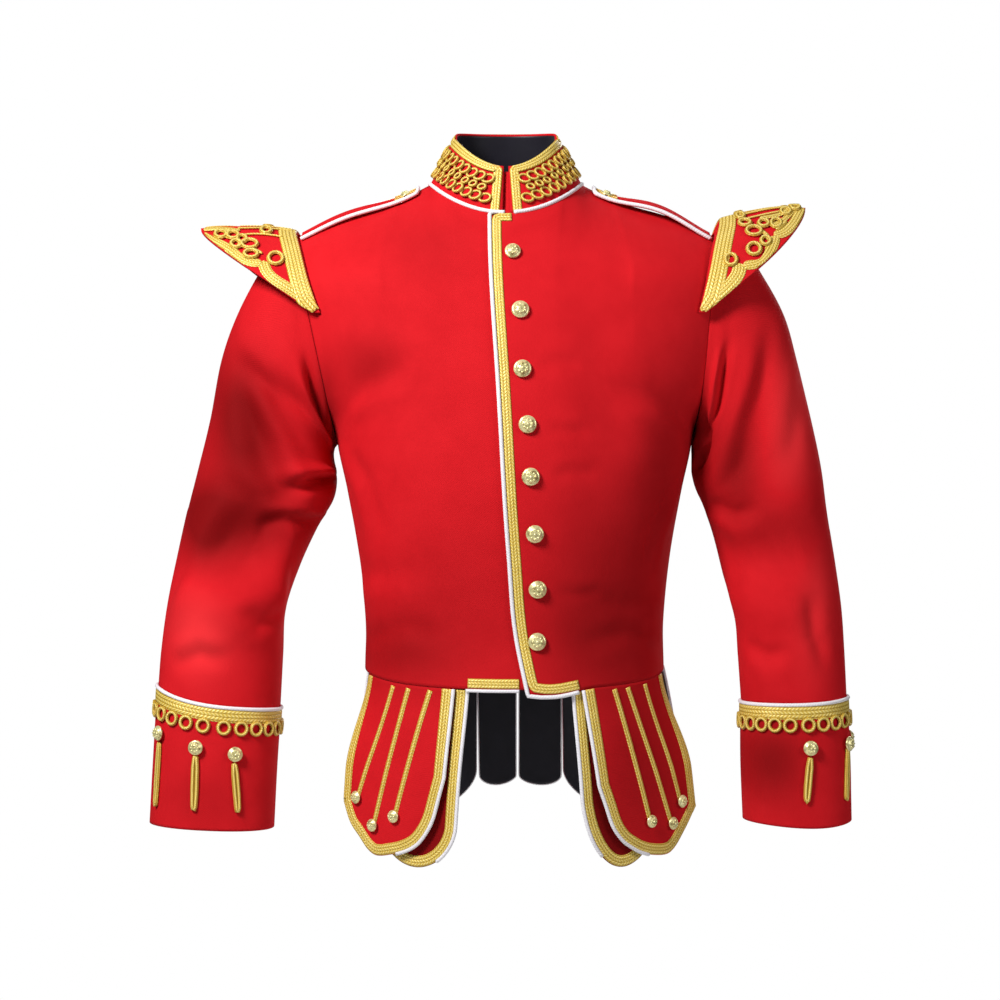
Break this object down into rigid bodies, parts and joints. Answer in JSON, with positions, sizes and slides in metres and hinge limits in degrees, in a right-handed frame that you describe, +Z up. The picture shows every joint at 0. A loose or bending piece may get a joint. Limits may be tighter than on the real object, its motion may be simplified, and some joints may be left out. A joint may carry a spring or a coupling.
{
  "type": "pipe band doublet",
  "caption": "Short fitted red jacket with stand collar, shoulder wings, gold braid, domed buttons and a skirt of flaps, filled out with no wearer.",
  "frame": {"origin": "middle of the neck opening, level with the neck base at the shoulders, where the wearer's neck and shoulders hold the garment", "axes": "+Z up along the neck, the front faces -Y, +X towards the wearer's left"},
  "size_m": [0.7424, 0.2654, 0.7732],
  "materials": {
    "red_cloth": "matt wool with a soft nap",
    "gold_braid": "metallic wire braid, satin",
    "white_piping": "matt twisted cord",
    "brass": "polished"
  },
  "bodies": {
    "root": {"back_left": "red_cloth", "back_right": "red_cloth", "button_cuff_left_1": "brass", "button_cuff_left_2": "brass", "button_cuff_left_3": "brass", "button_cuff_right_1": "brass", "button_cuff_right_2": "brass", "button_cuff_right_3": "brass", "button_front_1": "brass", "button_front_2": "brass", "button_front_3": "brass", "button_front_4": "brass", "button_front_5": "brass", "button_front_6": "brass", "button_front_7": "brass", "button_front_8": "brass", "button_strap_left": "brass", "button_strap_right": "brass", "button_tash_front_left_1": "brass", "button_tash_front_left_2": "brass", "button_tash_front_left_3": "brass", "button_tash_front_right_1": "brass", "button_tash_front_right_2": "brass", "button_tash_front_right_3": "brass", "collar": "red_cloth", "collar_braid": "gold_braid", "collar_piping": "white_piping", "cuff_braid_left": "gold_braid", "cuff_braid_right": "gold_braid", "cuff_left": "red_cloth", "cuff_piping_left": "white_piping", "cuff_piping_right": "white_piping", "cuff_right": "red_cloth", "front_braid": "gold_braid", "front_left": "red_cloth", "front_piping": "white_piping", "front_right": "red_cloth", "hem_braid_right": "gold_braid", "sleeve_left": "red_cloth", "sleeve_right": "red_cloth", "strap_left": "red_cloth", "strap_right": "red_cloth", "tash_back_left": "red_cloth", "tash_back_right": "red_cloth", "tash_braid_front_left": "gold_braid", "tash_braid_front_right": "gold_braid", "tash_braid_under_left": "gold_braid", "tash_braid_under_right": "gold_braid", "tash_front_left": "red_cloth", "tash_front_right": "red_cloth", "tash_side_left": "red_cloth", "tash_side_right": "red_cloth", "tash_under_left": "red_cloth", "tash_under_right": "red_cloth", "wing_braid_left": "gold_braid", "wing_braid_right": "gold_braid", "wing_left": "red_cloth", "wing_right": "red_cloth"}
  },
  "joints": []
}
